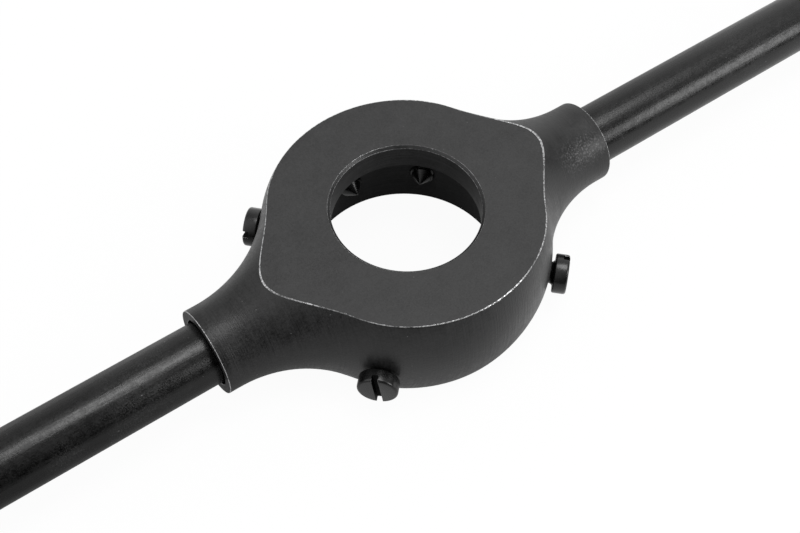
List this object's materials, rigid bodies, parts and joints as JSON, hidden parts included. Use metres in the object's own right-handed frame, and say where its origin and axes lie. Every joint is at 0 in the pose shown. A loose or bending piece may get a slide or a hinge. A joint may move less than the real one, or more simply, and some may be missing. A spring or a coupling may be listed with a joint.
{
  "type": "die stock handle",
  "caption": "Round die stock: a turned body with two flats and a stepped bore for a threading die, plain bar handles and radial cone-point locking screws.",
  "frame": {"origin": "axis of the die bore, in the lower flat, on which the stock rests and through which the die goes in", "axes": "+X along the right handle, +Z along the bore axis from the die pocket's mouth to the guide bore, +Y towards the spreading screw"},
  "size_m": [0.315, 0.059, 0.0215],
  "materials": {
    "body_steel": "black oxide, matt and finely grained, worn bright on its edges",
    "handle_steel": "black oxide over a drawn bar, satin",
    "screw_steel": "black oxide over turned steel, satin"
  },
  "bodies": {
    "stock": {"stock_body": "body_steel", "handle_left": "handle_steel", "handle_right": "handle_steel"},
    "holding_screw_front": {"holding_screw_front": "screw_steel"},
    "holding_screw_right": {"holding_screw_right": "screw_steel"},
    "closing_screw_left": {"closing_screw_left": "screw_steel"},
    "closing_screw_rear": {"closing_screw_rear": "screw_steel"},
    "spreading_screw": {"spreading_screw": "screw_steel"}
  },
  "joints": [
    {"name": "holding_screw_front_travel", "type": "slide", "parent": "stock", "child": "holding_screw_front", "axis": [-0.6984, -0.7157, 0], "range_m": [0, 0.005]},
    {"name": "holding_screw_right_travel", "type": "slide", "parent": "stock", "child": "holding_screw_right", "axis": [0.712, -0.7022, 0], "range_m": [-0.0002, 0.005]},
    {"name": "closing_screw_left_travel", "type": "slide", "parent": "stock", "child": "closing_screw_left", "axis": [-0.7034, 0.7108, 0], "range_m": [-0.0002, 0.005]},
    {"name": "closing_screw_rear_travel", "type": "slide", "parent": "stock", "child": "closing_screw_rear", "axis": [0.7071, 0.7071, 0], "range_m": [-0.0002, 0.005]},
    {"name": "spreading_screw_travel", "type": "slide", "parent": "stock", "child": "spreading_screw", "axis": [0, 1, 0], "range_m": [-0.0002, 0.005]}
  ]
}
